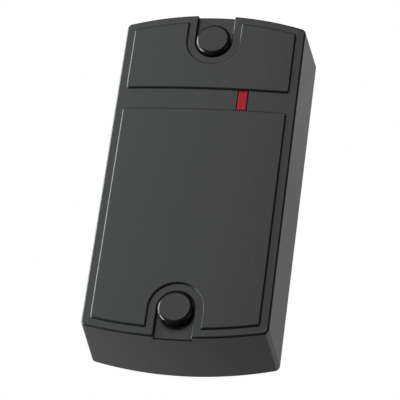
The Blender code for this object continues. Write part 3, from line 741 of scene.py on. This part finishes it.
def crownFace(housing):
    # Columns are cut across the face, and each corner of the face then sinks by the arc's drop at its place.
    startEdit(housing)
    reach = halfWide - shell["sideDraft"]
    for i in range(1, shell["columns"]):
        x = reach * (2 * i / shell["columns"] - 1)
        pick("FACE", lambda f: middle(f).z > shell["notchFloor"] + 0.3 * mm or f.normal.z > 0.5)
        bpy.ops.mesh.bisect(plane_co=(x + hair, 0, 0), plane_no=(1, 0, 0))
    endEdit()
    for corner in housing.data.vertices:
        if corner.co.z > shell["notchFloor"] + shell["crownFrom"]:
            corner.co.z -= crownDrop(corner.co.x)


inside = {
    "wall": 2.2 * mm,
    "rim": 1.0 * mm,
    "ceiling": 15.2 * mm,
    "seatDepth": 3.0 * mm,
    "bossRadius": 5.2 * mm,
    "capWell": 3.4 * mm,
    "screwSeat": 12.3 * mm,
    "screwHole": 1.95 * mm,
    "postRadius": 2.6 * mm,
    "rootDepth": 0.4 * mm,     # how far bosses and posts run into the front wall
    "platePosts": (15.2 * mm, 31.5 * mm, 2.1 * mm, 1.4 * mm, 9.1 * mm),  # x, y, foot, bore, bore's end
    "boardPosts": ((-10.5 * mm, 20.0 * mm), (-10.5 * mm, -20.0 * mm), (10.5 * mm, -20.0 * mm)),
    "boardPostFoot": 9.3 * mm,
    "boardPilot": (1.2 * mm, 4.3 * mm),                   # radius, depth
    "capWellTop": 18.0 * mm,
    "slotTop": 20.0 * mm,
    "slot": (8.53 * mm, 18.85 * mm, 2.55 * mm, 5.2 * mm),  # x, y, width, length
}


postX, postY = inside["platePosts"][:2]
platePlaces = {
    "upper_right": (postX, postY),
    "upper_left": (-postX, postY),
    "lower_left": (-postX, -postY),
    "lower_right": (postX, -postY),
}


def bodyOutline(inset, height):
    # The shell's outline, set in by a wall, at a height over the wall face.
    share = height / shell["faceHeight"]
    lean = (1 - share * shell["sideDraft"] / halfWide, 1 - share * shell["endDraft"] / halfTall)
    end = bulgedEnd(halfWide - inset, halfTall - inset, max(shell["corner"] - inset, 0.3 * mm))
    return [(x * lean[0], y * lean[1]) for x, y in end + halfTurned(end)]


def hollowHousing(housing):
    roof = inside["ceiling"]
    root = roof + inside["rootDepth"]
    seat = inside["screwSeat"]
    cut(housing, outlined("cavity", bodyOutline(inside["wall"], roof), -past, roof))
    cut(housing, outlined("plate_seat", bodyOutline(inside["rim"], 0), -past, inside["seatDepth"]))
    for y in (shell["screwY"], -shell["screwY"]):
        join(housing, drum("boss", 0, y, inside["bossRadius"], 0, root))
        cut(housing, drum("cap_well", 0, y, inside["capWell"], seat, inside["capWellTop"]))
        cut(housing, drum("screw_hole", 0, y, inside["screwHole"], -past, seat + past, sides=48))
    foot, bore, boreEnd = inside["platePosts"][2:]
    for x, y in platePlaces.values():
        join(housing, drum("plate_post", x, y, inside["postRadius"], foot, root, sides=32))
        cut(housing, drum("plate_pilot", x, y, bore, 0, boreEnd, sides=24))
    foot = inside["boardPostFoot"]
    pilot, depth = inside["boardPilot"]
    for x, y in inside["boardPosts"]:
        join(housing, drum("board_post", x, y, inside["postRadius"], foot, root, sides=32))
        cut(housing, drum("board_pilot", x, y, pilot, foot - past, foot + depth, sides=24))
    x, y, wide, long = inside["slot"]
    low = (x - wide / 2, y - long / 2, roof - past)
    high = (x + wide / 2, y + long / 2, inside["slotTop"])
    cut(housing, block("slot", low, high))


housing = makeHousing()
hollowHousing(housing)
tidyMesh(housing)
smooth(housing)
place(housing, "reader", "shell_plastic", shellPlastic, "front_housing")


# Indicator window

window = {
    "width": 2.10 * mm,
    "length": 4.95 * mm,
    "top": 17.86 * mm,
    "bottom": 11.8 * mm,
    "cornerRound": 0.16 * mm,
    "edgeRound": 0.10 * mm,
    "flangeLow": 14.0 * mm,
    "flangeHigh": 14.9 * mm,
    "flangeReach": 0.7 * mm,
    "flangeCorner": 0.4 * mm,
}


def makeWindow():
    x, y = inside["slot"][:2]
    wide = window["width"]
    long = window["length"]
    top = window["top"]
    grow = 2 * window["flangeReach"]
    lens = outlined(
        "indicator_window", roundedBox(wide, long, x, y, window["cornerRound"]), window["bottom"], top
    )
    flange = roundedBox(wide + grow, long + grow, x, y, window["flangeCorner"])
    join(lens, outlined("window_flange", flange, window["flangeLow"], window["flangeHigh"]))
    roundEdges(lens, lambda e: isSharp(e) and middle(e).z > top - hair, window["edgeRound"], 3)
    smooth(lens)
    place(lens, "reader", "lens_red", lensPlastic, "indicator_lens")


makeWindow()


# Screw caps: push-in plugs with a slit stem

cap = {
    "radius": 4.03 * mm,
    "top": 19.0 * mm,
    "under": 17.05 * mm,
    "edgeRound": 0.90 * mm,
    "footRound": 0.12 * mm,
    "stemRadius": 3.0 * mm,
    "stemBore": 2.0 * mm,
    "stemEnd": 15.1 * mm,
    "stemRoot": 0.5 * mm,      # how far the stem runs into the head
    "stemRound": 0.25 * mm,
    "boreRoot": 0.2 * mm,
    "slit": 0.7 * mm,
    "slitStop": 0.1 * mm,      # short of the head
}


def makeCaps():
    y = shell["screwY"]
    high = cap["top"]
    under = cap["under"]
    end = cap["stemEnd"]
    top = drum("screw_plug_top", 0, y, cap["radius"], under, high, sides=96)
    roundEdges(top, lambda e: not isUpright(e) and middle(e).z > high - hair, cap["edgeRound"], 8)
    roundEdges(top, lambda e: isSharp(e, 60) and middle(e).z < under + hair, cap["footRound"], 2)
    stem = drum("stem", 0, y, cap["stemRadius"], end, under + cap["stemRoot"], sides=48)
    roundEdges(stem, lambda e: not isUpright(e) and middle(e).z < end + hair, cap["stemRound"], 2)
    cut(stem, drum("stem_bore", 0, y, cap["stemBore"], end - past, under + cap["boreRoot"], sides=48))
    for wide, long in ((cap["slit"] / 2, cap["radius"]), (cap["radius"], cap["slit"] / 2)):
        cut(stem, block("slit", (-wide, y - long, end - past), (wide, y + long, under - cap["slitStop"])))
    join(top, stem)
    tidyMesh(top)
    smooth(top)
    bottom = duplicate(top, "screw_plug_bottom", move=(0, -2 * y, 0))
    place(top, "cap_top", "cap_plastic", capPlastic, "screw_cap_top")
    place(bottom, "cap_bottom", "cap_plastic", capPlastic, "screw_cap_bottom")


makeCaps()


# Fixing screws, in the bosses under the caps

fixing = {
    "profile": inMm(  # radius, height over the wall
        (0.3, 0.4), (0.99, 1.4), (1.32, 2.2), (1.32, 11.2), (1.52, 11.5), (1.62, 12.6), (2.9, 12.6),
        (3.0, 12.72), (3.0, 13.1), (2.88, 13.8), (2.55, 14.25), (1.98, 14.56), (1.2, 14.72), (0.42, 14.8),
    ),
    "sides": 64,
    "thread": inMm((1.32, 1.68, 1.8, 10.6, 1.25))[0],  # core, crest, low, high, pitch
    "recess": inMm((3.4, 0.75, 13.5, 15.8))[0],        # reach, width, low, high
}


def makeFixingScrews():
    y = shell["screwY"]
    top = makeScrew("fixing_screw_top", fixing)
    bottom = duplicate(top, "fixing_screw_bottom", move=(0, -y, 0))
    settle(top, location=(0, y, 0))
    place(top, "screw_top", "screw_steel", screwSteel, "mounting_screw_top")
    place(bottom, "screw_bottom", "screw_steel", screwSteel, "mounting_screw_bottom")


makeFixingScrews()


# Rear plate: cover of the wall side, with the cable exit in a well

plate = {
    "thickness": 1.8 * mm,
    "inset": 1.3 * mm,
    "edgeRound": 0.18 * mm,
    "rimRound": 0.08 * mm,
    "collar": (8.0 * mm, 2.7 * mm),
    "cableY": 12.0 * mm,
    "well": (6.6 * mm, 1.2 * mm),
    "hole": 4.5 * mm,
    "bossHole": 5.5 * mm,
    "screwHole": 1.4 * mm,
    "countersink": (2.8 * mm, -0.3 * mm, 1.4 * mm),               # radius, low, high
    "label": (20 * mm, 19 * mm, -15.5 * mm, 1.5 * mm, 0.3 * mm),  # width, length, y, corner, depth
    "ejectors": inMm((-13, 3), (13, 3), (-14, -15), (14, -15), (-10, 23.5), (10, 23.5)),
    "ejector": (1.25 * mm, 0.07 * mm),
}


def makeRearPlate():
    thick = plate["thickness"]
    cover = outlined("rear_cover", bodyOutline(plate["inset"], 0), 0, thick)
    roundEdges(cover, lambda e: isSharp(e) and middle(e).z < hair, plate["edgeRound"], 3)
    y = plate["cableY"]
    radius, top = plate["collar"]
    join(cover, drum("collar", 0, y, radius, thick / 2, top))
    radius, depth = plate["well"]
    cut(cover, drum("cable_well", 0, y, radius, -past, depth, sides=96))
    cut(cover, drum("cable_hole", 0, y, plate["hole"], -past, top + past))
    for y in (shell["screwY"], -shell["screwY"]):
        cut(cover, drum("boss_hole", 0, y, plate["bossHole"], -past, thick + past, sides=96))
    wide, low, high = plate["countersink"]
    narrow = plate["screwHole"]
    for x, y in platePlaces.values():
        cut(cover, drum("screw_hole", x, y, narrow, -past, thick + past, sides=48))
        cut(cover, drum("countersink", x, y, wide, low, high, topRadius=narrow, sides=48))
    wide, long, y, corner, depth = plate["label"]
    cut(cover, outlined("label_recess", roundedBox(wide, long, 0, y, corner), -past, depth))
    radius, depth = plate["ejector"]
    for x, y in plate["ejectors"]:
        cut(cover, drum("ejector_mark", x, y, radius, -past, depth, sides=40))
    tidyMesh(cover)
    roundEdges(cover, onPlateRim, plate["rimRound"], 2)
    smooth(cover)
    place(cover, "reader", "plate_plastic", platePlastic, "rear_plate")


def onPlateRim(edge):
    # The mouths of the cable well and the boss holes, on the wall side.
    a, b = edge.verts
    if a.co.z > hair or b.co.z > hair or not isSharp(edge, 60):
        return False
    spot = middle(edge)
    fromWell = math.hypot(spot.x, spot.y - plate["cableY"]) - plate["well"][0]
    fromBoss = math.hypot(spot.x, abs(spot.y) - shell["screwY"]) - plate["bossHole"]
    return min(abs(fromWell), abs(fromBoss)) < 0.02 * mm


makeRearPlate()


# Countersunk screws of the rear plate

sunk = {
    "profile": inMm(
        (2.12, 0.15), (2.2, 0.2), (2.2, 0.31), (0.97, 1.25), (0.82, 1.55), (0.82, 7.1), (0.25, 8.5),
    ),
    "sides": 48,
    "thread": inMm((0.82, 1.08, 1.75, 7.3, 0.8))[0],
    "recess": inMm((2.3, 0.55, -0.85, 0.9))[0],
}


def makeSet(first, name, node, places):
    # Copies of a screw at their places on the reader. The first one, at the origin, then goes.
    for spot, (x, y) in places.items():
        screw = duplicate(first, name + spot, move=(x, y, 0))
        place(screw, "reader", "screw_steel", screwSteel, node + spot)
    bpy.data.objects.remove(first)


makeSet(makeScrew("plate_screw", sunk), "cover_screw_", "plate_screw_", platePlaces)


# Cable grommet: a rubber ring that snaps into the collar

grommet = {
    "profile": inMm(  # once round the section, from the mouth of the bore on the wall side
        (3.55, 0.4), (3.72, 0.19), (3.9, 0.15), (4.4, 0.15), (4.52, 0.29), (4.72, 0.29), (4.84, 0.15),
        (5.7, 0.15), (5.88, 0.21), (6.0, 0.4), (6.0, 0.78), (5.88, 0.9), (4.32, 0.9), (4.2, 1.02),
        (4.2, 2.88), (4.32, 3.0), (5.5, 3.0), (5.6, 3.12), (5.2, 3.78), (5.05, 3.9), (3.22, 3.9), (3.1, 3.78),
        (3.1, 1.25), (3.24, 0.75), (3.55, 0.4),
    ),
    "sides": 96,
}


def makeGrommet():
    ring = turnedUp("cable_ring", grommet["profile"], grommet["sides"], 0, plate["cableY"], closed=True)
    smooth(ring, 40)
    place(ring, "reader", "seal_rubber", sealRubber, "cable_grommet")


makeGrommet()


# Antenna coil, wound round its former

coil = {
    "half": (17.25 * mm, 27.25 * mm),
    "deep": 1.75 * mm,
    "corner": 4.35 * mm,
    "low": 10.4 * mm,
    "high": 13.0 * mm,
    "layers": 10,
    "bulge": 0.07 * mm,
}


def makeCoil():
    wide, long = coil["half"]
    deep = coil["deep"]
    corner = coil["corner"]
    low = coil["low"]
    high = coil["high"]
    pitch = (high - low) / coil["layers"]
    slimX, slimY = (1 - coil["bulge"] / half for half in coil["half"])
    height = low + pitch / 3
    turns = outlined("wound_coil", roundedBox(2 * wide, 2 * long, 0, 0, corner, 8), low, height)
    startEdit(turns)
    pick("FACE", lambda f: middle(f).z > low + pitch / 4 and abs(f.normal.z) > 0.5)
    # each turn of wire is a straight band, with a step in to the groove and a step out again
    band = (pitch / 3, 1, 1)
    steps = (band, (pitch / 6, slimX, slimY), (pitch / 6, 1 / slimX, 1 / slimY), band)
    for rise, growX, growY in steps * coil["layers"]:
        if height + rise > high + 1e-9:
            break
        height += rise
        bpy.ops.mesh.extrude_region_move(TRANSFORM_OT_translate={"value": (0, 0, rise)})
        bpy.ops.transform.resize(value=(growX, growY, 1), center_override=(0, 0, height))
    endEdit()
    space = roundedBox(2 * (wide - deep), 2 * (long - deep), 0, 0, corner - deep, 8)
    cut(turns, outlined("coil_inside", space, low - past, high + past))
    tidyMesh(turns)
    smooth(turns, 50)
    place(turns, "reader", "copper", copper, "antenna_coil")


makeCoil()


# Board screws

boardScrew = {
    "profile": inMm(
        (0.57, 5.8), (1.178, 5.88), (1.596, 6.08), (1.843, 6.42), (1.9, 6.98), (1.82, 7.1), (0.82, 7.1),
        (0.66, 7.4), (0.66, 11.9), (0.2, 13.0),
    ),
    "sides": 40,
    "thread": inMm((0.66, 0.90, 7.7, 12.0, 0.7))[0],
    "recess": inMm((2.0, 0.5, 4.8, 6.4))[0],
}
boardPlaces = dict(zip(("upper_left", "lower_left", "lower_right"), inside["boardPosts"]))
makeSet(makeScrew("board_fixing", boardScrew), "board_fixing_", "board_screw_", boardPlaces)


# Finishes of the CAD nodes that stay

stayingFinishes = {
    "rear_gasket": sealRubber,
    "circuit_board": boardGreen,
    "coil_former": formerPlastic,
    "status_led": ledWhite,
    "led_shroud": blackPlastic,
    "buzzer": blackPlastic,
    "microcontroller": chipEpoxy,
    "reader_chip": chipEpoxy,
    "voltage_regulator": chipEpoxy,
    "surge_diode": chipEpoxy,
    "crystal": canSteel,
    "filter_capacitor": canAluminium,
    "tuning_capacitor": filmRed,
    "cable_connector": connectorWhite,
}
for name, finish in stayingFinishes.items():
    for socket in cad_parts[name].material_slots:
        socket.material = finish
shown = [name for name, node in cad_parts.items() if not node.hide_render]
print("CAD nodes that stay:", len(shown), "without a finish:", set(shown) - set(stayingFinishes))

addCamera()
addStudio()
print("camera and studio set")

bpy.context.scene.view_settings.view_transform = "Standard"
